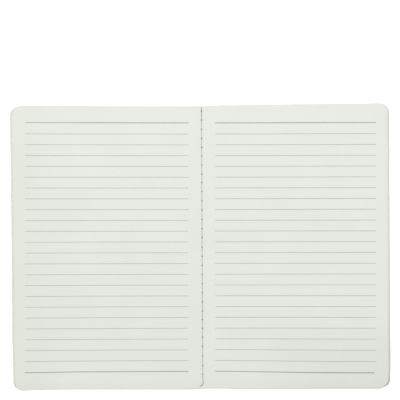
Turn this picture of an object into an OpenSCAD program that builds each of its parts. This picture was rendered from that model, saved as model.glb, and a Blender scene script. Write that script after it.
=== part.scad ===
// Open composition notebook: a thin booklet of ruled sheets, folded once and machine-sewn
// through the fold into a card cover, lying open at its middle spread.
// X runs across the spread, Y from the tail to the head, Z up from the table.
// The fold lies on X = 0, and the table is at Z = 0.

/* [Leaves] */
// Width of the innermost leaf, from the fold to its fore-edge
leaf_w = 138; // [90:0.5:180]
// Height of the leaves and the cover, from tail to head
leaf_h = 210; // [140:1:300]
// Number of folded sheets, which is also the number of leaves on each side
sheets = 16; // [8:1:24]
// Thickness of one sheet of paper
paper_t = 0.1; // [0.07:0.01:0.14]
// Radius of the rounded fore-edge corners
corner_r = 7; // [4:0.5:20]
// Width beside the fold in which the leaves are pressed into one body
pressed_w = 6; // [5:0.5:10]
// Slope at which the uppermost leaf rises from the fold, in degrees
fan_deg = 1.2; // [0.3:0.1:2]

/* [Cover] */
// Thickness of the cover card
cover_t = 0.3; // [0.2:0.05:0.6]
// Width beside the fold in which the card arches up over the outer thread
crease_w = 4; // [2.5:0.25:5]

/* [Ruling] */
// Distance from one rule to the next
rule_pitch = 8; // [6:0.1:9]
// Distance from the head of the page to the first rule
head_margin = 13.1; // [8:0.1:20]
// Least distance from the last rule to the tail of the page
tail_margin = 12; // [8:0.1:20]
// Distance from the fold to the inner end of the rules
inner_margin = 9.8; // [8:0.1:20]
// Distance from the outer end of the rules to the innermost leaf's fore-edge
outer_margin = 8.4; // [4:0.1:20]
// Width of a printed rule
rule_w = 0.3; // [0.15:0.05:0.6]
// Width of the heavier first and last rules
end_rule_w = 0.45; // [0.2:0.05:0.8]

/* [Sewing] */
// Diameter of the sewing thread
thread_d = 0.4; // [0.25:0.05:0.5]
// Distance from one needle hole to the next
stitch_len = 6.75; // [4:0.25:10]
// Distance from the head to the first needle hole
head_unsewn = 4; // [2.5:0.5:8]
// Least distance from the last needle hole to the tail
tail_unsewn = 9; // [6:0.5:14]

/* [Hidden] */
$fn = 64;

// Height of the printed ink on the paper
ink_t = 0.03;
// Clearance between the thread and what it lies on
seat_gap = 0.01;
// Clearance between the thread and the wall of a needle hole
hole_gap = 0.1;
// Gap between the thread's two legs in a hole
leg_gap = 0.1;
// Length by which a thread's cut end stops short of the head or tail
thread_end_gap = 0.6;
// Radius and slope in degrees of the curl in the inner thread's loose end, and its distance from the tail
tail_r = 2.2;
tail_rise = 6;
tail_end_gap = 0.9;
// Steps in each curve of the fold
fold_steps = 8;
// Overlap of the leaves with the pressed body that joins them
leaf_root = 0.5;
// Distance by which the pressed body stops short of the leaves at head and tail
pressed_inset = 0.1;

// Height of the fold's outer face over the table, which leaves room for the outer thread
arch_h = thread_d + 2 * seat_gap;
// Top of the pressed stack at the fold
fold_z = arch_h + cover_t + sheets * paper_t;
// Depth of the gutter, which the inner thread lies in
gutter_h = thread_d + 4 * seat_gap;
// Height of the open page beside the fold
page_z = fold_z + gutter_h;
// Spacing of the leaves beside the fold
leaf_pitch = (page_z - cover_t - paper_t) / (sheets - 1);
// Height where the two threads lock inside the fold
lock_z = (arch_h + fold_z) / 2;
// Radius of the thread's centreline where it turns into and inside a hole, and the hole it needs
turn_r = (thread_d + leg_gap) / 2;
needle_d = 2 * turn_r + thread_d + 2 * hole_gap;

// Rules on a page
rules = 1 + floor((leaf_h - head_margin - tail_margin) / rule_pitch);
// Stitches, and the place of each needle hole, counted from the head
stitches = floor((leaf_h - head_unsewn - tail_unsewn) / stitch_len);
function hole_y(i) = leaf_h / 2 - head_unsewn - i * stitch_len;

// A sheet nearer the cover goes round more of the spine, so after trimming it is wider by this much
function creep(depth) = PI / 2 * depth;
function leaf_width(i) = leaf_w + creep((sheets - 1 - i) * paper_t);
cover_w = leaf_w + creep((sheets - 0.5) * paper_t + cover_t / 2);

// Slope of a leaf, the lowest lying flat on the cover
function leaf_slope(i) = fan_deg * i / (sheets - 1);
function page_top(x) = page_z + x * tan(fan_deg);

// Half a cosine wave from 1 at x = 0 to 0 at x = w
function ease(x, w) = (1 + cos(180 * min(x, w) / w)) / 2;
function arch(x) = arch_h * ease(x, crease_w);
function gutter(x) = let (edge = page_top(pressed_w) - paper_t / 2) edge - (edge - fold_z) * ease(x, pressed_w);

function steps_to(w) = [for (i = [0:fold_steps]) i * w / fold_steps];
function reversed(list) = [for (i = [len(list) - 1:-1:0]) list[i]];

// Outline of a leaf or cover half from x0 to w, with its two fore-edge corners rounded
module leaf_outline(x0, w) {
    translate([x0, -leaf_h / 2]) square([w - corner_r - x0, leaf_h]);
    translate([x0, corner_r - leaf_h / 2]) square([w - x0, leaf_h - 2 * corner_r]);
    for (side = [-1, 1])
        translate([w - corner_r, side * (leaf_h / 2 - corner_r)]) rotate(180) circle(corner_r);
}

// Prism of length h along Y, from an outline in X and Z
module along_fold(points, h) {
    translate([0, h / 2, 0]) rotate([90, 0, 0]) linear_extrude(h) polygon(points);
}

// Needle holes down through the fold
module needle_holes() {
    for (i = [0:stitches])
        translate([0, hole_y(i), 0]) cylinder(d = needle_d, h = page_z);
}

// One leaf, lying in its own slope
module leaf(i) {
    translate([0, 0, cover_t + i * leaf_pitch])
        rotate([0, -leaf_slope(i), 0])
            linear_extrude(paper_t) leaf_outline(pressed_w - leaf_root, leaf_width(i));
}

// The stack beside the fold, pressed together by the sewing, with the gutter rolled down to the fold
module pressed_fold() {
    lower = [for (x = steps_to(crease_w)) [x, arch(x) + cover_t]];
    upper = [for (x = steps_to(pressed_w)) [x, gutter(x)]];
    along_fold(concat(lower, [[pressed_w, cover_t]], reversed(upper)), leaf_h - 2 * pressed_inset);
}

// Leaves to the right of the fold
module leaves() {
    difference() {
        union() {
            pressed_fold();
            for (i = [0:sheets - 1]) leaf(i);
        }
        needle_holes();
    }
}

// Cover to the right of the fold: flat card that arches up into the crease of the spine
module cover() {
    outer = [for (x = steps_to(crease_w)) [x, arch(x)]];
    inner = [for (p = outer) [p[0], p[1] + cover_t]];
    difference() {
        union() {
            along_fold(concat(outer, reversed(inner)), leaf_h);
            linear_extrude(cover_t) leaf_outline(crease_w, cover_w);
        }
        needle_holes();
    }
}

// Printed rules on the uppermost leaf to the right of the fold
module ruling() {
    top = sheets - 1;
    translate([0, 0, cover_t + top * leaf_pitch])
        rotate([0, -leaf_slope(top), 0])
            for (i = [0:rules - 1]) {
                w = i == 0 || i == rules - 1 ? end_rule_w : rule_w;
                translate([inner_margin, leaf_h / 2 - head_margin - i * rule_pitch - w / 2, paper_t])
                    cube([leaf_w - inner_margin - outer_margin, w, ink_t]);
            }
}

// Straight thread along the fold from y0 to y1
module thread_run(y0, y1) {
    translate([0, y1, 0]) rotate([90, 0, 0]) cylinder(d = thread_d, h = y1 - y0);
}

// Part of a ring of thread in the YZ plane, from one angle to another, with 0 towards +Y
module thread_turn(from, to) {
    rotate([90, 0, 90]) rotate([0, 0, from])
        rotate_extrude(angle = to - from) translate([turn_r, 0]) circle(d = thread_d);
}

// Thread that turns down into a hole, round at depth and up again, centred on y = 0
module thread_dip(depth) {
    for (side = [-1, 1]) {
        translate([0, side * 2 * turn_r, -turn_r])
            if (side > 0) thread_turn(90, 180); else thread_turn(0, 90);
        translate([0, side * turn_r, -depth]) cylinder(d = thread_d, h = depth - turn_r);
    }
    translate([0, 0, -depth]) thread_turn(180, 360);
}

// One thread of the lockstitch: an end at the head, a run between each two holes and a dip at each hole
module lockstitch(depth) {
    thread_run(hole_y(0) + 2 * turn_r, leaf_h / 2 - thread_end_gap);
    for (i = [1:stitches])
        thread_run(hole_y(i) + 2 * turn_r, hole_y(i - 1) - 2 * turn_r);
    for (i = [0:stitches])
        translate([0, hole_y(i), 0]) thread_dip(depth);
}

// Loose end at the tail, which runs on from the last hole, curls towards -X and rises with the gutter
module loose_end() {
    curl_y = tail_r + tail_end_gap - leaf_h / 2;
    thread_run(curl_y, last_y);
    translate([0, curl_y, 0]) rotate([0, tail_rise, 0])
        translate([-tail_r, 0, 0]) rotate([0, 0, -90])
            rotate_extrude(angle = 90) translate([tail_r, 0]) circle(d = thread_d);
}

// Height of each thread's centreline, and how deep its turn lies inside the fold
inner_z = fold_z + seat_gap + thread_d / 2;
outer_z = arch_h - seat_gap - thread_d / 2;
// Where the last stitch of each thread ends
last_y = hole_y(stitches) - 2 * turn_r;
dip_h = inner_z - lock_z - seat_gap - thread_d / 2 - turn_r;

module inner_thread() {
    color([0.62, 0.63, 0.61]) translate([0, 0, inner_z]) {
        lockstitch(dip_h);
        loose_end();
    }
}

module outer_thread() {
    color([0.62, 0.63, 0.61]) translate([0, 0, outer_z]) {
        mirror([0, 0, 1]) lockstitch(dip_h);
        thread_run(thread_end_gap - leaf_h / 2, last_y);
    }
}

module back_cover() { color([0.80, 0.80, 0.78]) cover(); }
module front_cover() { color([0.80, 0.80, 0.78]) mirror([1, 0, 0]) cover(); }
module back_leaves() { color([0.92, 0.93, 0.89]) leaves(); }
module front_leaves() { color([0.92, 0.93, 0.89]) mirror([1, 0, 0]) leaves(); }
module back_ruling() { color([0.62, 0.64, 0.62]) ruling(); }
module front_ruling() { color([0.62, 0.64, 0.62]) mirror([1, 0, 0]) ruling(); }

front_cover();
back_cover();
front_leaves();
back_leaves();
front_ruling();
back_ruling();
inner_thread();
outer_thread();
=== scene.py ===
import math

import bpy
import numpy as np
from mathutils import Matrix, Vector
from mathutils.bvhtree import BVHTree


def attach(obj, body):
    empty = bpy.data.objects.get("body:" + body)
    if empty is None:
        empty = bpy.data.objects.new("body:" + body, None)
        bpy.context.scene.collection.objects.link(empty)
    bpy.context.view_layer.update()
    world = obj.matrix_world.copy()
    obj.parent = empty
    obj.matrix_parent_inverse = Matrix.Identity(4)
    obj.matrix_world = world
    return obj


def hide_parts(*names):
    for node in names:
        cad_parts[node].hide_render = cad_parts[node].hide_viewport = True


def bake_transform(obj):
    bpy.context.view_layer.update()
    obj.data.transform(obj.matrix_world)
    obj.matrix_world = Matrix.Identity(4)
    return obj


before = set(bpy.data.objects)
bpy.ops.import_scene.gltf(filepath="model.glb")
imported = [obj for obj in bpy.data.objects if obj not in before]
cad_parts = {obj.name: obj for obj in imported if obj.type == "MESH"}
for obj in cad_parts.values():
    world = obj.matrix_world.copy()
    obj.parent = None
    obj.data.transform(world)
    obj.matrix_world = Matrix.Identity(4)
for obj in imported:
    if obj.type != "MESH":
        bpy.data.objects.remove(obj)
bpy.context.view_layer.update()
rng = np.random.default_rng(7)

MM = 0.001
FRONT, BACK = -1, 1
# Place of each half in the tables of random waves
ROW = {FRONT: 0, BACK: 1}

# Sizes in millimetres, as in the part's source
LEAF_W = 138.0
LEAF_H = 210.0
SHEETS = 16
PAPER_T = 0.1
PRESSED_W = 6.0
FAN_DEG = 1.2
COVER_T = 0.3
CREASE_W = 4.0
RULES = 24
RULE_PITCH = 8.0
HEAD_MARGIN = 13.1
THREAD_D = 0.4
STITCH = 6.75
HEAD_UNSEWN = 4.0
STITCHES = 29
SEAT_GAP = 0.01
TURN_R = 0.25
THREAD_END_GAP = 0.6

ARCH_H = THREAD_D + 2 * SEAT_GAP
FOLD_Z = ARCH_H + COVER_T + SHEETS * PAPER_T
GUTTER_H = THREAD_D + 4 * SEAT_GAP
PAGE_Z = FOLD_Z + GUTTER_H
LEAF_PITCH = (PAGE_Z - COVER_T - PAPER_T) / (SHEETS - 1)
# The stitches aren't quite even: how far a needle hole strays towards the head, at some of them
HOLE_AT = (0, 3, 5, 9, 13, 15, 19, 22, 24, 26, 28, 29)
HOLE_STRAY = (0.15, -0.05, 0.3, 0.95, 0.6, 0.22, 0.22, 0.0, 0.8, 0.8, 0.1, 0.3)
HOLES_Y = [
    LEAF_H / 2 - HEAD_UNSEWN - i * STITCH + float(np.interp(i, HOLE_AT, HOLE_STRAY))
    for i in range(STITCHES + 1)
]

# How the photographed notebook departs from the ideal one, in millimetres: the width of each half
HALF_EXTRA = {FRONT: 0.86, BACK: -0.8}
# The lower leaves stand out a little more than the fold alone pushes them
STEP_OUT = {FRONT: 1.2, BACK: 1.07}
# Radius of each corner, by its half, and by 1 for the head or -1 for the foot
CORNER_R = {(FRONT, 1): 7.2, (FRONT, -1): 5.4, (BACK, 1): 6.4, (BACK, -1): 7.2}
# How far the fore-edge, head and foot stray outwards, at some places along each
WAVE_AT = (-105, -99, -87, -69, -47, -17, 5, 26, 42, 62, 74, 91, 105)
WAVE = {
    FRONT: (-0.68, -0.6, -0.43, 0.02, -0.14, -0.1, 0.1, 0.14, 0.33, 0.3, 0.56, 0.86, 0.9),
    BACK: (-0.1, 0.15, 0.2, 0.04, 0.12, 0.0, 0.0, -0.06, -0.15, 0.02, 0.12, -0.05, -0.08),
}
TRIM_AT = (0, 7, 15, 30, 68, 98, 121, 138)
HEAD = {
    FRONT: (-0.18, -0.15, -0.17, -0.1, 0.02, 0.2, 0.3, 0.68),
    BACK: (-0.36, 0.02, 0.47, 0.4, 0.9, 0.97, 1.13, 1.4),
}
FOOT = {
    FRONT: (0.36, 0.67, 0.7, 0.57, 0.23, -0.12, -0.25, 0.4),
    BACK: (0.38, 0.12, 0.16, 0.7, 0.46, 0.23, 0.25, 0.36),
}
# Distance from head or foot over which the trim's strays fade out
TRIM_FADE = 9

# Curl of the uppermost page at its fore-edge, and the height, length and start of its slow swell
CURL = {FRONT: 1.0, BACK: -1.3}
SWELL_H = {FRONT: 0.35, BACK: 0.3}
SWELL_LEN = {FRONT: 62, BACK: 55}
SWELL_START = {FRONT: 0.6, BACK: -0.9}
SAG = 0.35

# Width of the rim of painted shade along a fore-edge, and the distances from the foot where the foot's is
# full and ends
EDGE_BAND = 0.65
FOOT_FULL, FOOT_BAND = 0.4, 1.5
# Value of the rim's attribute where the paper keeps its own colour: more is painted shade, less is painted
# light
RIM_ZERO = 0.4
# Edges that turn by more than this many degrees are the crisp cut edges of card and paper
RIM_ANGLE = 35

# Half the length of a needle hole, which is also half its width in paper
HOLE_R = 0.52
# Half its width in the cover, which stretches most as the notebook closes
COVER_HOLE_X = 0.3
# Half the size of the middle cell of a hole
HOLE_MID = 0.15
# A hole is three cells by three: which of its corners the face of each corner cell loses to it
LOST_CORNER = {(0, 0): 2, (0, 2): 1, (2, 0): 3, (2, 2): 0}
# Distance from a hole to the next row of the finer sheets
NEXT_ROW = 1.3
# Half the width of the bend in the fold as the notebook closes
BLEND = 3.5
# Gap between a sheet and the one above it
SKIN = 0.008


def smooth(t):
    t = np.clip(t, 0.0, 1.0)
    return t * t * (3 - 2 * t)


def ease(u, w):
    """Half a cosine wave from 1 at u = 0 to 0 at u = w."""
    return (1 + np.cos(np.pi * np.minimum(u, w) / w)) / 2


def creep(depth):
    """Length that a sheet at this depth loses round the fold, against the innermost one."""
    return math.pi / 2 * depth


# Slow waves that make each leaf part a little from the one below it
gap_phase = rng.uniform(0, 2 * math.pi, (2, SHEETS, 3))
gap_size = rng.uniform(0.5, 1.0, (2, SHEETS))
edge_phase = rng.uniform(0, 2 * math.pi, (2, SHEETS + 1, 2))


def fan_share(side, i, y):
    """Share of the fan below leaf i, from 0 for the lowest to 1 for the uppermost."""
    phase = gap_phase[ROW[side], i]
    wave = sum(np.sin(y / LEAF_H * 2 * math.pi * (0.7 + n) + phase[n]) / (1.5 + n) for n in range(3))
    inner = math.sin(math.pi * i / (SHEETS - 1))
    return i / (SHEETS - 1) + 0.028 * inner * gap_size[ROW[side], i] * wave


def page_lift(side, u, y):
    """Height of the uppermost page over its even slope."""
    out = np.clip(u / LEAF_W, 0, 1.05)
    swell = np.sin(y / SWELL_LEN[side] + SWELL_START[side])
    lift = CURL[side] * out**1.5 + SWELL_H[side] * out**2 * swell
    if side == FRONT:
        # The lower part of the left fore-edge stands up a little
        lift = lift + 0.5 * smooth((u - 95) / 45) * smooth((-y - 40) / 60)
    else:
        # A low ridge runs out to the lower part of the right fore-edge
        ridge = smooth((-y - 15) / 74) - 0.5 * smooth((-y - 84) / 24)
        lift = lift + 1.6 * smooth((u - 25) / 110) * ridge
    return lift - SAG * np.sin(math.pi * np.clip(out, 0, 1)) * smooth(u / 30)


def leaf_bottom(side, i, u, y):
    """Height of the lower face of leaf i, at distance u from the fold."""
    level = i / (SHEETS - 1)
    slope = math.tan(math.radians(FAN_DEG))
    start = COVER_T + i * LEAF_PITCH
    far = start + u * slope * fan_share(side, i, y)
    far = far + page_lift(side, u, y) * level**2.2
    fold = ARCH_H + COVER_T + i * PAPER_T
    return far - (start - fold) * ease(u, CREASE_W + (PRESSED_W - CREASE_W) * level)


def cover_bottom(u):
    return ARCH_H * ease(u, CREASE_W)


def base_width(side, depth):
    """Mean width of one half of a sheet."""
    return LEAF_W + HALF_EXTRA[side] + STEP_OUT[side] * creep(depth)


def half_width(side, depth, index, y):
    """Width of one half of a sheet at height y, with the wave that all share and small ones of its own."""
    slow, fast = edge_phase[ROW[side], index]
    own = 0.07 * np.sin(y / 37 + slow) + 0.04 * np.sin(y / 9 + fast)
    return base_width(side, depth) + np.interp(y, WAVE_AT, WAVE[side]) + own


def columns(index, width, coarse):
    """Distances of one half's columns from the fold: dense round the needle holes and in the corners."""
    hole_x = COVER_HOLE_X if index == SHEETS else HOLE_R
    near = [HOLE_MID, hole_x, 0.8, 1.2, 1.6, 2.0, 2.4, 2.8, 3.2, 3.6, 4.2, 5.0, 6.0, 8.5]
    corner_w = 10.0
    middle = np.linspace(14, width - corner_w, 7 if coarse else 30)
    angles = np.linspace(0, math.pi / 2, 9 if coarse else 13)[1:]
    return np.concatenate([near, middle, width - corner_w + corner_w * np.sin(angles)])


def rows(coarse):
    """Heights of the rows, from head to foot: dense round the needle holes and at the foot."""
    half = LEAF_H / 2
    ys = [half, half - 1.2, half - 2.6]
    for i, y in enumerate(HOLES_Y):
        ys += [y + HOLE_R, y - HOLE_R] if coarse else [y + HOLE_R, y + HOLE_MID, y - HOLE_MID, y - HOLE_R]
        if i < STITCHES:
            below = HOLES_Y[i + 1]
            ys += [(y + below) / 2] if coarse else [y - NEXT_ROW, (y + below) / 2, below + NEXT_ROW]
    ys += [HOLES_Y[-1] - step for step in (2.0, 4.0, 6.0, 8.0)]
    ys += [-half + step for step in (FOOT_BAND, (FOOT_FULL + FOOT_BAND) / 2, FOOT_FULL, 0.0)]
    return np.array(ys)


def outline_y(side, u, width, y):
    """The row y at distance u, moved into the sheet's outline with its rounded corners."""
    sign = np.where(y >= 0, 1, -1)
    half = LEAF_H / 2
    for s, stray in ((1, HEAD), (-1, FOOT)):
        r = CORNER_R[(side, s)]
        into = np.clip(u - (width - r), 0, r)
        cut = r - np.sqrt(np.maximum(r * r - into * into, 0))
        far = smooth((np.abs(y) - half + TRIM_FADE) / TRIM_FADE) * np.interp(u, TRIM_AT, stray[side])
        y = np.where(sign == s, y * (1 - cut / half) + s * far, y)
    return y


def fore_weight(side, index, u, y):
    """Strength of the painted shade on the rim along a fore-edge, below zero where painted light makes the
    paper there lighter.
    """
    low = np.clip((SHEETS - 1 - index) / (SHEETS - 1), 0, 1)
    # On the left, painted light on the lower leaves' steps, and a little painted shade on them near the head
    if side == FRONT:
        head = smooth((y - 97) / 3)
        return 0.1 * low * head - 0.3 * np.minimum(3 * low, 1) * (1 - head) + 0 * u
    # On the right, painted light and shade on the steps by their depth, and more painted shade towards the
    # foot
    weight = 0.2 * smooth((low - 0.1) / 0.2) - 0.14 * np.minimum(8 * low, 1)
    weight = weight - 0.08 * smooth((low - 0.7) / 0.2)
    weight = weight + 0.15 * smooth((10 - y) / 90)
    # Painted shade on the lower leaves round the right page's lower corner
    return weight + 0.95 * low * smooth((u - 127) / 8) * smooth((-y - 93) / 7)


def rim_distance(side, u, y, width):
    """Distance in from the fore-edge and its rounded corners, and how much the rim there faces sideways."""
    r = np.where(y > 0, CORNER_R[(side, 1)], CORNER_R[(side, -1)])
    dx, dy = u - (width - r), np.abs(y) - (LEAF_H / 2 - r)
    reach = np.hypot(dx, dy)
    corner = (dx > 0) & (dy > 0)
    facing = np.where(corner, np.clip(1.5 * dx / np.maximum(reach, 1e-6), 0, 1), 1.0)
    return np.where(corner, r - reach, width - u), facing


def foot_weight(side, u):
    """Strength of the painted shade on the rim along the foot, which stands for the leaves bending down a
    little there, away from the light.
    """
    if side == FRONT:
        return 0.12 + 0.3 * (1 - smooth((u - 8) / 22))
    return 0.16 + 0.42 * smooth((u - 45) / 50)


def needle_cells(ys, first, coarse):
    """Cells inside the needle holes, and those at a hole's corners with what each loses.

    The holes begin in the grid's column named first.
    """
    holes, corners = set(), {}
    span = 1 if coarse else 3
    for r in range(len(ys) - span):
        if abs(ys[r] - ys[r + span] - 2 * HOLE_R) >= 1e-6:
            continue
        for dr in range(span):
            for dc in range(3):
                cell = (r + dr, first + dc)
                if coarse or (dr, dc) not in LOST_CORNER:
                    holes.add(cell)
                else:
                    corners[cell] = LOST_CORNER[(dr, dc)]
    return holes, corners


def sheet_mesh(name, index, depth, bottom, thickness, coarse):
    """One folded sheet as a closed solid with its needle holes, from its lower face's height function."""
    base = {s: base_width(s, depth) for s in (FRONT, BACK)}
    us = {s: columns(index, base[s], coarse) for s in (FRONT, BACK)}
    xs = np.concatenate([-us[FRONT][::-1], us[BACK]])
    ys = rows(coarse)
    nx, ny = len(xs), len(ys)
    px, py, pz, edge = np.zeros((4, ny, nx))
    for s in (FRONT, BACK):
        cols = np.where(s * xs > 0)[0]
        u = np.abs(xs[cols])[None, :]
        y = ys[:, None]
        width = half_width(s, depth, index, y)
        uu = u * (1 + (width / base[s] - 1) * smooth((u - 100) / 35))
        yy = outline_y(s, u, base[s], y + 0 * u)
        inside, facing = rim_distance(s, uu, yy, width)
        # Painted light and shade along the fore-edge and foot rims, in the rim attribute that the materials
        # read
        fore = (1 - smooth(inside / EDGE_BAND)) * facing * fore_weight(s, index, uu, yy)
        foot = (1 - smooth((y + LEAF_H / 2 - FOOT_FULL) / (FOOT_BAND - FOOT_FULL))) * foot_weight(s, uu)
        edge[:, cols] = RIM_ZERO + fore + foot
        px[:, cols] = s * uu
        py[:, cols] = yy
        pz[:, cols] = bottom(s, uu, yy)
    holes, corners = needle_cells(ys, len(us[FRONT]) - 2, coarse)
    count = nx * ny
    vid = np.arange(count).reshape(ny, nx)
    upper_verts = np.stack([px, py, pz + thickness], -1).reshape(-1, 3)
    lower_verts = np.stack([px, py, pz], -1).reshape(-1, 3)
    verts = np.concatenate([upper_verts, lower_verts])
    faces = []
    for r in range(ny - 1):
        for c in range(nx - 1):
            if (r, c) in holes:
                continue
            face = [vid[r, c], vid[r + 1, c], vid[r + 1, c + 1], vid[r, c + 1]]
            if (r, c) in corners:
                del face[corners[(r, c)]]
            faces.append(tuple(face))
    edges = dict.fromkeys((v, f[(i + 1) % len(f)]) for f in faces for i, v in enumerate(f))
    lower = [tuple(v + count for v in reversed(f)) for f in faces]
    rim = [(b, a, a + count, b + count) for (a, b) in edges if (b, a) not in edges]
    used = sorted({v for f in faces for v in f})
    keep = np.array(used + [v + count for v in used])
    remap = {int(v): n for n, v in enumerate(keep)}
    all_faces = [tuple(remap[int(v)] for v in f) for f in faces + lower + rim]
    obj = new_object(name, verts[keep], all_faces)
    # The rim's painted light and shade, kept for the materials
    tone = obj.data.attributes.new("painted_rim_shading", "FLOAT", "POINT")
    tone.data.foreach_set("value", np.tile(edge.reshape(-1), 2)[keep].astype(np.float32))
    obj.data.set_sharp_from_angle(angle=math.radians(RIM_ANGLE))
    return obj


def new_object(name, verts, faces, smooth_shade=True):
    """An object in the scene, which also keeps the place of each vertex at rest for its material."""
    mesh = bpy.data.meshes.new(name)
    mesh.from_pydata((np.asarray(verts) * MM).tolist(), [], faces)
    mesh.update()
    flat = mesh.attributes.new("flat_place", "FLOAT_VECTOR", "POINT")
    flat.data.foreach_set("vector", np.asarray(verts, np.float32).reshape(-1) * MM)
    if smooth_shade:
        mesh.shade_smooth()
    obj = bpy.data.objects.new(name, mesh)
    bpy.context.scene.collection.objects.link(obj)
    return obj


# Materials

WHITE = (1.0, 1.0, 1.0)
# A range along X or Y, in metres, that any place on the notebook is past
EVERYWHERE = (-0.3, -0.2)
# Where the paper's colour is darkened: the ranges along X and Y, in metres, and the tone. Painted shade at
# the right page's lower corner and along the foot, where the page turns a little away from the light; a
# darker, yellower tint along the left fore-edge
PAINTED_SHADE_AND_TINT = (
    ((0.01, 0.1), (-0.038, -0.08), (0.955, 0.957, 0.957)),
    (EVERYWHERE, (-0.097, -0.1035), (0.98, 0.98, 0.98)),
    ((-0.085, -0.139), EVERYWHERE, (0.982, 0.979, 0.965)),
)
# Where the thread is darker: the range along Y, in metres, and the tone; at the loose end the darkening is
# partly painted shade for the shadow of the lifted end
DARKER_THREAD = (((0.088, 0.1), 0.6), ((-0.095, -0.0995), 0.6), ((-0.0995, -0.1015), 0.68))
# The floor glows outside this half width and half height in metres, over which the notebook lies
GLOW_FROM = (0.138, 0.103)
GLOW_FADE = 0.003
GLOW = 0.6


def new_material(name):
    material = bpy.data.materials.new(name)
    material.use_nodes = True
    nodes = material.node_tree.nodes
    nodes.clear()
    out = nodes.new("ShaderNodeOutputMaterial")
    shader = nodes.new("ShaderNodeBsdfPrincipled")
    material.node_tree.links.new(shader.outputs[0], out.inputs["Surface"])
    return material, material.node_tree, shader


def attribute(tree, name, output):
    node = tree.nodes.new("ShaderNodeAttribute")
    node.attribute_name = name
    return node.outputs[output]


def noise(tree, place, scale, detail, rough=0.55, stretch=None):
    links, nodes = tree.links, tree.nodes
    if stretch is not None:
        mapping = nodes.new("ShaderNodeMapping")
        mapping.inputs["Scale"].default_value = stretch
        links.new(place, mapping.inputs["Vector"])
        place = mapping.outputs["Vector"]
    tex = nodes.new("ShaderNodeTexNoise")
    tex.inputs["Scale"].default_value = scale
    tex.inputs["Detail"].default_value = detail
    tex.inputs["Roughness"].default_value = rough
    links.new(place, tex.inputs["Vector"])
    return tex.outputs["Fac"]


def ramp(tree, fac, stops):
    node = tree.nodes.new("ShaderNodeValToRGB")
    elements = node.color_ramp.elements
    while len(elements) < len(stops):
        elements.new(0.5)
    for element, (at, colour) in zip(elements, stops):
        element.position = at
        element.color = (*colour, 1)
    tree.links.new(fac, node.inputs["Fac"])
    return node.outputs["Color"]


def multiply(tree, a, b):
    node = tree.nodes.new("ShaderNodeMix")
    node.data_type = "RGBA"
    node.blend_type = "MULTIPLY"
    node.inputs[0].default_value = 1.0
    tree.links.new(a, node.inputs[6])
    tree.links.new(b, node.inputs[7])
    return node.outputs[2]


def bump(tree, shader, height, distance, strength):
    node = tree.nodes.new("ShaderNodeBump")
    node.inputs["Distance"].default_value = distance
    node.inputs["Strength"].default_value = strength
    tree.links.new(height, node.inputs["Height"])
    tree.links.new(node.outputs["Normal"], shader.inputs["Normal"])


def tint(colour, k):
    return tuple(c * k for c in colour)


def corner_field(tree, place, xs, ys):
    """Smooth field that rises from 0 to 1 as x and y go through the given ranges."""
    split = tree.nodes.new("ShaderNodeSeparateXYZ")
    tree.links.new(place, split.inputs[0])
    product = tree.nodes.new("ShaderNodeMath")
    product.operation = "MULTIPLY"
    for k, (a, b) in enumerate((xs, ys)):
        step = tree.nodes.new("ShaderNodeMapRange")
        step.interpolation_type = "SMOOTHSTEP"
        step.inputs["From Min"].default_value = min(a, b)
        step.inputs["From Max"].default_value = max(a, b)
        step.inputs["To Min"].default_value = 0.0 if a < b else 1.0
        step.inputs["To Max"].default_value = 1.0 if a < b else 0.0
        tree.links.new(split.outputs[k], step.inputs["Value"])
        tree.links.new(step.outputs["Result"], product.inputs[k])
    return product.outputs[0]


def toned(tree, colour, place, xs, ys, tone):
    """The colour, multiplied by a tone where x and y are past the given ranges."""
    field = corner_field(tree, place, xs, ys)
    return multiply(tree, colour, ramp(tree, field, [(0.0, WHITE), (1.0, tone)]))


def paper_material():
    material, tree, shader = new_material("writing_paper")
    place = attribute(tree, "flat_place", "Vector")
    colour = (0.712, 0.732, 0.682)
    mottle = noise(tree, place, 28.0, 3.0)
    fibre = noise(tree, place, 900.0, 5.0, 0.65)
    base = ramp(tree, mottle, [(0.3, tint(colour, 0.988)), (0.7, tint(colour, 1.012))])
    grain = ramp(tree, fibre, [(0.25, tint(WHITE, 0.955)), (0.75, WHITE)])
    # Painted light on the rims below RIM_ZERO and painted shade above it
    rim_stops = [(0.0, tint(WHITE, 1.2)), (RIM_ZERO, WHITE), (1.0, (0.84, 0.835, 0.83))]
    rim_light_and_shade = ramp(tree, attribute(tree, "painted_rim_shading", "Fac"), rim_stops)
    shade_and_tone = multiply(tree, multiply(tree, base, grain), rim_light_and_shade)
    # Painted shade at the right page's lower corner and along the foot, and a darker, yellower tint along the
    # left fore-edge
    for xs, ys, tone in PAINTED_SHADE_AND_TINT:
        shade_and_tone = toned(tree, shade_and_tone, place, xs, ys, tone)
    tree.links.new(shade_and_tone, shader.inputs["Base Color"])
    shader.inputs["Roughness"].default_value = 0.82
    shader.inputs["Specular IOR Level"].default_value = 0.25
    bump(tree, shader, fibre, 0.00004, 0.5)
    return material


def ink_material():
    material, tree, shader = new_material("grey_ink")
    place = attribute(tree, "flat_place", "Vector")
    colour = (0.332, 0.352, 0.343)
    patchy = noise(tree, place, 1500.0, 4.0, 0.7)
    drift = noise(tree, place, 45.0, 2.0)
    base = ramp(tree, patchy, [(0.3, tint(colour, 0.9)), (0.75, tint(colour, 1.14))])
    slow = ramp(tree, drift, [(0.3, tint(WHITE, 0.96)), (0.7, WHITE)])
    tree.links.new(multiply(tree, base, slow), shader.inputs["Base Color"])
    shader.inputs["Roughness"].default_value = 0.7
    shader.inputs["Specular IOR Level"].default_value = 0.3
    return material


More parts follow.
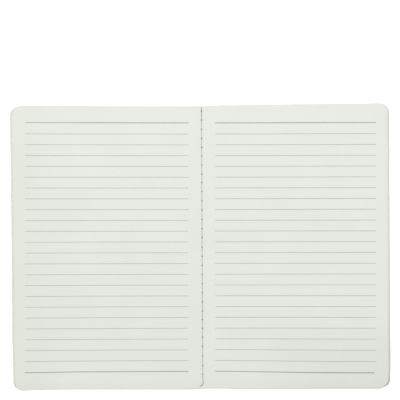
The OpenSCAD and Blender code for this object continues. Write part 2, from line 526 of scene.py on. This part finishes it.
def card_material():
    material, tree, shader = new_material("cover_board")
    place = attribute(tree, "flat_place", "Vector")
    colour = (0.76, 0.76, 0.745)
    mottle = noise(tree, place, 60.0, 5.0, 0.6)
    fibre = noise(tree, place, 700.0, 5.0, 0.6, (1.0, 0.35, 1.0))
    fleck = noise(tree, place, 420.0, 2.0, 0.5, (1.0, 0.6, 1.0))
    base = ramp(tree, mottle, [(0.3, tint(colour, 0.95)), (0.7, tint(colour, 1.05))])
    grain = ramp(tree, fibre, [(0.3, tint(WHITE, 0.9)), (0.7, WHITE)])
    spots = ramp(tree, fleck, [(0.27, (0.8, 0.79, 0.77)), (0.33, WHITE)])
    spotted = multiply(tree, multiply(tree, base, grain), spots)
    # Painted shade on the card's rim, mostly along the foot
    shade_and_tone = ramp(tree, attribute(tree, "painted_rim_shading", "Fac"), [(0.6, WHITE), (1.0, (0.5, 0.51, 0.53))])
    tree.links.new(multiply(tree, spotted, shade_and_tone), shader.inputs["Base Color"])
    shader.inputs["Roughness"].default_value = 0.75
    shader.inputs["Specular IOR Level"].default_value = 0.3
    bump(tree, shader, fibre, 0.00006, 0.6)
    return material


def thread_material():
    material, tree, shader = new_material("sewing_cotton")
    place = attribute(tree, "flat_place", "Vector")
    colour = (0.43, 0.44, 0.425)
    fuzz = noise(tree, place, 2600.0, 3.0, 0.6)
    slow = noise(tree, place, 120.0, 2.0)
    base = ramp(tree, fuzz, [(0.3, tint(colour, 0.8)), (0.7, tint(colour, 1.2))])
    tone = ramp(tree, slow, [(0.3, tint(WHITE, 0.93)), (0.7, WHITE)])
    shade_and_tone = multiply(tree, base, tone)
    # Darker thread near the head and at the loose end, partly painted shade at the loose end
    for ends, dark in DARKER_THREAD:
        shade_and_tone = toned(tree, shade_and_tone, place, EVERYWHERE, ends, tint(WHITE, dark))
    tree.links.new(shade_and_tone, shader.inputs["Base Color"])
    shader.inputs["Roughness"].default_value = 0.8
    shader.inputs["Sheen Weight"].default_value = 0.2
    bump(tree, shader, fuzz, 0.00003, 0.6)
    return material


def floor_material():
    material, tree, shader = new_material("studio_floor")
    coords = tree.nodes.new("ShaderNodeTexCoord")
    slow = noise(tree, coords.outputs["Object"], 3.0, 2.0)
    base = ramp(tree, slow, [(0.3, tint(WHITE, 0.955)), (0.7, tint(WHITE, 0.965))])
    tree.links.new(base, shader.inputs["Base Color"])
    shader.inputs["Roughness"].default_value = 0.9
    shader.inputs["Specular IOR Level"].default_value = 0.1
    shader.inputs["Emission Color"].default_value = (1, 1, 1, 1)
    # Bright round the notebook only, so no light comes up through the needle holes
    split = tree.nodes.new("ShaderNodeSeparateXYZ")
    tree.links.new(coords.outputs["Object"], split.inputs[0])
    most = tree.nodes.new("ShaderNodeMath")
    most.operation = "MAXIMUM"
    for axis, inner_edge in enumerate(GLOW_FROM):
        size = tree.nodes.new("ShaderNodeMath")
        size.operation = "ABSOLUTE"
        tree.links.new(split.outputs[axis], size.inputs[0])
        step = tree.nodes.new("ShaderNodeMapRange")
        step.inputs["From Min"].default_value = inner_edge
        step.inputs["From Max"].default_value = inner_edge + GLOW_FADE
        step.inputs["To Max"].default_value = GLOW
        tree.links.new(size.outputs[0], step.inputs["Value"])
        tree.links.new(step.outputs["Result"], most.inputs[axis])
    tree.links.new(most.outputs[0], shader.inputs["Emission Strength"])
    return material


paper = paper_material()
ink = ink_material()
card = card_material()
cotton = thread_material()

# The folded sheets, the lowest first, each one piece of paper from fore-edge to fore-edge
for i in range(SHEETS):
    top = i == SHEETS - 1
    sheet = sheet_mesh(
        f"sheet_{i + 1:02d}",
        i,
        (SHEETS - 1 - i) * PAPER_T,
        lambda s, u, y, i=i: leaf_bottom(s, i, u, y),
        PAPER_T - SKIN,
        coarse=not top,
    )
    sheet.data.materials.append(paper)
    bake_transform(sheet)
    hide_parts("front_leaves", "back_leaves")
    if top:
        page = sheet.data
page_tree = BVHTree.FromPolygons([v.co[:] for v in page.vertices], [p.vertices[:] for p in page.polygons])

# The card cover, also one piece
cover = sheet_mesh(
    "cover_card",
    SHEETS,
    (SHEETS - 0.5) * PAPER_T + COVER_T / 2,
    lambda s, u, y: cover_bottom(u) + 0 * y,
    COVER_T - SKIN,
    coarse=False,
)
cover.data.materials.append(card)
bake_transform(cover)
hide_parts("front_cover", "back_cover")

# The printed rules, each a film of ink that follows the uppermost page

FIRST_RULE = LEAF_H / 2 - HEAD_MARGIN
# Distances of a rule's two ends from the fold, and how far each end strays at random
RULE_SPAN = {FRONT: (10.2, 130.75), BACK: (9.8, 128.75)}
RULE_STRAY = 0.12
# The print isn't quite square to the fold: how far a rule rises for each millimetre along it, and how far
# along X the rules' ends move for each millimetre down the page
RULE_TILT = {FRONT: 0.0044, BACK: -0.0030}
RULE_LEAN = -0.0047
# How far the first rule stands nearer to the head
FIRST_RISE = {FRONT: 0.34, BACK: 0.24}
# How far the right page's last rules run down, and how much shorter its last rule is
LAST_DROPS = (0.2, 0.5, 0.9)
LAST_SHORT = 1.4
# Width of the rules between the first and the last
RULE_W = {FRONT: 0.315, BACK: 0.335}
# How far the ink stands over the paper, and how far it reaches into it
INK_T = 0.02
INK_SUNK = 0.02
RULE_STEPS = 60


def page_surface(side, u, y):
    return leaf_bottom(side, SHEETS - 1, u, y) + PAPER_T - SKIN


def printed_z(x, y):
    """Height of the uppermost sheet's face at a place on the spread."""
    hit = page_tree.ray_cast(Vector((x, y, 30.0)) * MM, Vector((0, 0, -1)))
    return hit[0].z / MM


def rule_shift(side, n, u):
    """How far a rule strays towards the head, as the print and the foot of the right page run off true."""
    shift = FIRST_RISE[side] if n == 0 else 0.0
    dropped = n - (RULES - len(LAST_DROPS))
    if side == BACK and dropped >= 0:
        shift = shift - LAST_DROPS[dropped] * smooth((u - 5) / 85)
    if side == FRONT and n == RULES - 1:
        shift = shift - 0.22 * smooth((u - 90) / 30)
    return shift


def rule_width(side, n, u):
    """Width of a rule along its length: the first and last are heavier, and the print isn't even."""
    if n == 0:
        return 0.66 - 0.19 * smooth((u - 70) / 50) if side == FRONT else 0.68 - 0.06 * smooth((u - 80) / 30)
    if n == RULES - 1:
        return 0.62 + 0 * u if side == FRONT else 0.6 + 0.2 * smooth((u - 20) / 100)
    return RULE_W[side] + 0 * u


def ruling(name, side):
    """The rules of one page, each a closed film of ink."""
    verts, faces = [], []
    u0, u1 = RULE_SPAN[side]
    for n in range(RULES):
        lean = side * RULE_LEAN * (n - (RULES - 1) / 2) * RULE_PITCH
        a = u0 + lean + rng.uniform(-RULE_STRAY, RULE_STRAY)
        b = u1 + lean + rng.uniform(-RULE_STRAY, RULE_STRAY)
        if side == BACK and n == RULES - 1:
            b -= LAST_SHORT
        u = np.linspace(a, b, RULE_STEPS + 1)
        y = FIRST_RULE - n * RULE_PITCH + RULE_TILT[side] * (u - u0) + rule_shift(side, n, u)
        start = len(verts)
        for uu, yy, width in zip(u, y, rule_width(side, n, u)):
            for dy in (width / 2, -width / 2):
                z = printed_z(side * uu, yy + dy)
                verts.append((side * uu, yy + dy, z + INK_T))
                verts.append((side * uu, yy + dy, z - INK_SUNK))
        for k in range(RULE_STEPS):
            p = start + 4 * k
            q = p + 4
            faces += [(p, p + 2, q + 2, q), (p + 1, q + 1, q + 3, p + 3)]
            faces += [(p, q, q + 1, p + 1), (p + 2, p + 3, q + 3, q + 2)]
        faces.append((start, start + 1, start + 3, start + 2))
        e = start + 4 * RULE_STEPS
        faces.append((e, e + 2, e + 3, e + 1))
    if side == FRONT:
        faces = [tuple(reversed(f)) for f in faces]
    return new_object(name, verts, faces, smooth_shade=False)


for side, body, node in ((FRONT, "front_half", "front_ruling"), (BACK, "back_half", "back_ruling")):
    lines = ruling(node + "_print", side)
    lines.data.materials.append(ink)
    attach(lines, body)
    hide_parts(node)

# The two threads of the lockstitch, each a twisted yarn

# Steps along the runs between holes, and along the outer thread's end
RUN_STEP = 0.25
TAIL_STEP = 0.3
# How far a run strays sideways and away from the holes between two of them
SWAY = 0.03
# The yarn's plies, the length of one turn, and the depth of the groove as a share of the radius
PLIES = 2
LAY = 1.5
PLY_DEPTH = 0.14
YARN_SIDES = 10
YARN_STEP = 0.17
# Where the thread runs nearly along X, its section follows on from the one before
LEAST_ACROSS = 0.3
# Half the width of the outer thread's bend as the notebook closes: wide enough to take in the spine's middle
# as a whole, so it stays round
OUTER_BLEND = 60.0

inner_z = FOLD_Z + SEAT_GAP + THREAD_D / 2
outer_z = ARCH_H - SEAT_GAP - THREAD_D / 2
lock_z = (ARCH_H + FOLD_Z) / 2
dip = inner_z - lock_z - SEAT_GAP - THREAD_D / 2 - TURN_R
last_y = HOLES_Y[-1] - 2 * TURN_R

# The loose end's way over the page, from the last hole on, in X and Y
HOOK = (
    (0.0, last_y),
    (0.0, -96.6),
    (0.2, -98.0),
    (0.42, -99.4),
    (0.3, -100.8),
    (-0.15, -102.0),
    (-1.15, -102.85),
    (-1.95, -103.45),
)
HOOK_POINTS = 48
HOOK_GAP = 0.02


def thread_path(sign, level, depth, tail):
    """Centreline from head to foot: runs in the fold, and a dip at each hole, downwards for sign -1."""
    pts = []

    def add(x, y, z):
        pts.append((x, y, level + sign * z))

    y = LEAF_H / 2 - THREAD_END_GAP
    while y > HOLES_Y[0] + 2 * TURN_R + 0.01:
        add(0, y, 0)
        y -= RUN_STEP
    for k, yc in enumerate(HOLES_Y):
        for a in np.linspace(0, math.pi / 2, 6):
            add(0, yc + 2 * TURN_R - TURN_R * math.sin(a), TURN_R * (1 - math.cos(a)))
        for d in np.linspace(TURN_R, depth, 4)[1:]:
            add(0, yc + TURN_R, d)
        for a in np.linspace(0, math.pi, 9)[1:]:
            add(0, yc + TURN_R * math.cos(a), depth + TURN_R * math.sin(a))
        for d in np.linspace(depth, TURN_R, 4)[1:]:
            add(0, yc - TURN_R, d)
        for a in np.linspace(math.pi / 2, 0, 6)[1:]:
            add(0, yc - 2 * TURN_R + TURN_R * math.sin(a), TURN_R * (1 - math.cos(a)))
        if k < STITCHES:
            end = HOLES_Y[k + 1] + 2 * TURN_R
            y = yc - 2 * TURN_R - RUN_STEP
            while y > end + 0.1:
                t = (yc - 2 * TURN_R - y) / (yc - 2 * TURN_R - end)
                add(SWAY * math.sin(math.pi * t) * math.sin(3.1 * k), y, -SWAY * math.sin(math.pi * t))
                y -= RUN_STEP
    return np.array(pts + tail)


def resample(points, step):
    """Points at even steps along a path, and the length up to each."""
    seg = np.linalg.norm(np.diff(points, axis=0), axis=1)
    points = points[np.concatenate([[True], seg > 1e-6])]
    seg = np.linalg.norm(np.diff(points, axis=0), axis=1)
    at = np.concatenate([[0], np.cumsum(seg)])
    s = np.linspace(0, at[-1], max(2, int(at[-1] / step)) + 1)
    return np.stack([np.interp(s, at, points[:, k]) for k in range(3)], 1), s


def yarn(name, points):
    """Tube along the points whose section turns, so that its plies wind round each other."""
    pts, s = resample(points, YARN_STEP)
    tangent = np.gradient(pts, axis=0)
    tangent /= np.linalg.norm(tangent, axis=1)[:, None]
    across = np.tile(np.array([1.0, 0, 0]), (len(pts), 1))
    across -= tangent * np.sum(across * tangent, axis=1)[:, None]
    norm = np.linalg.norm(across, axis=1)
    last = np.array([1.0, 0, 0])
    for i in range(len(pts)):
        if norm[i] < LEAST_ACROSS:
            across[i] = last - tangent[i] * np.dot(last, tangent[i])
            across[i] /= np.linalg.norm(across[i])
        else:
            across[i] /= norm[i]
        last = across[i]
    other = np.cross(tangent, across)
    verts, faces = [], []
    angles = np.linspace(0, 2 * math.pi, YARN_SIDES, endpoint=False)
    for i in range(len(pts)):
        turn = 2 * math.pi * s[i] / LAY
        for a in angles:
            r = THREAD_D / 2 * (1 - PLY_DEPTH + PLY_DEPTH * math.cos(PLIES * (a - turn / PLIES)))
            verts.append(pts[i] + r * (math.cos(a) * across[i] + math.sin(a) * other[i]))
    for i in range(len(pts) - 1):
        for k in range(YARN_SIDES):
            a = i * YARN_SIDES + k
            b = i * YARN_SIDES + (k + 1) % YARN_SIDES
            faces.append((a, b, b + YARN_SIDES, a + YARN_SIDES))
    faces.append(tuple(reversed(range(YARN_SIDES))))
    end = (len(pts) - 1) * YARN_SIDES
    faces.append(tuple(range(end, end + YARN_SIDES)))
    return new_object(name, verts, faces)


def hook_points():
    """Loose end of the inner thread: a smooth hook that lies on the page beside the fold."""
    knots = np.array(HOOK)
    out = []
    for f in np.linspace(0, len(knots) - 1, HOOK_POINTS)[1:]:
        i = min(math.floor(f), len(knots) - 2)
        p0, p1, p2, p3 = (knots[min(max(i + k, 0), len(knots) - 1)] for k in (-1, 0, 1, 2))
        w = f - i
        slope, bend, twist = p2 - p0, 2 * p0 - 5 * p1 + 4 * p2 - p3, 3 * p1 - p0 - 3 * p2 + p3
        x, y = 0.5 * (2 * p1 + slope * w + bend * w**2 + twist * w**3)
        side = FRONT if x < 0 else BACK
        z = float(page_surface(side, abs(x), y)) + THREAD_D / 2 + HOOK_GAP
        out.append((x, y, max(z, inner_z)))
    return out


tail_y = np.arange(last_y - TAIL_STEP, -LEAF_H / 2 + THREAD_END_GAP, -TAIL_STEP)
inner = yarn("inner_thread_yarn", thread_path(-1, inner_z, dip, hook_points()))
outer = yarn("outer_thread_yarn", thread_path(1, outer_z, dip, [(0, y, outer_z) for y in tail_y]))
for obj, node, reach in ((inner, "inner_thread", BLEND), (outer, "outer_thread", OUTER_BLEND)):
    obj.data.materials.append(cotton)
    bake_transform(obj)
    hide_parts(node)

# Studio: a white floor and soft light from beyond the head of the notebook, in metres

FLOOR_SIZE = 6.0
FLOOR_Z = -0.0001
SKY_STRENGTH = 0.72
KEY_PLACE = (-0.02, 0.85, 1.35)
KEY_TARGET = (0, 0.02, 0)
KEY_SIZE = (1.2, 0.8)
KEY_POWER = 14.0

bpy.ops.mesh.primitive_plane_add(size=FLOOR_SIZE, location=(0, 0, FLOOR_Z))
floor = bpy.context.object
floor.name = "floor"
floor.data.materials.append(floor_material())

world = bpy.data.worlds.new("studio")
bpy.context.scene.world = world
world.use_nodes = True
sky = world.node_tree.nodes["Background"]
sky.inputs["Color"].default_value = (1.0, 1.0, 1.0, 1)
sky.inputs["Strength"].default_value = SKY_STRENGTH

key_light = bpy.data.lights.new("key", "AREA")
key_light.shape = "RECTANGLE"
key_light.size, key_light.size_y = KEY_SIZE
key_light.energy = KEY_POWER
key = bpy.data.objects.new("key", key_light)
bpy.context.scene.collection.objects.link(key)
key.location = KEY_PLACE
aim = np.array(KEY_TARGET) - np.array(KEY_PLACE)
key.rotation_euler = Vector(aim).to_track_quat("-Z", "Y").to_euler()

# The camera looks straight down and is turned a little, and its frame has this width at the page's height
CAMERA_XY = (-0.0014, 0.035)
CAMERA_H = 0.650
CAMERA_TURN = -0.27
PAGE_H = 0.0025
FRAME_W = 0.29695
SENSOR_W = 36

camera_data = bpy.data.cameras.new("camera")
camera = bpy.data.objects.new("camera", camera_data)
bpy.context.scene.collection.objects.link(camera)
camera.location = (*CAMERA_XY, CAMERA_H)
camera.rotation_euler = (0, 0, math.radians(CAMERA_TURN))
camera_data.sensor_width = SENSOR_W
camera_data.lens = SENSOR_W * (CAMERA_H - PAGE_H) / FRAME_W
camera_data.clip_start = 0.01
bpy.context.scene.camera = camera

bpy.context.scene.view_settings.view_transform = "Standard"
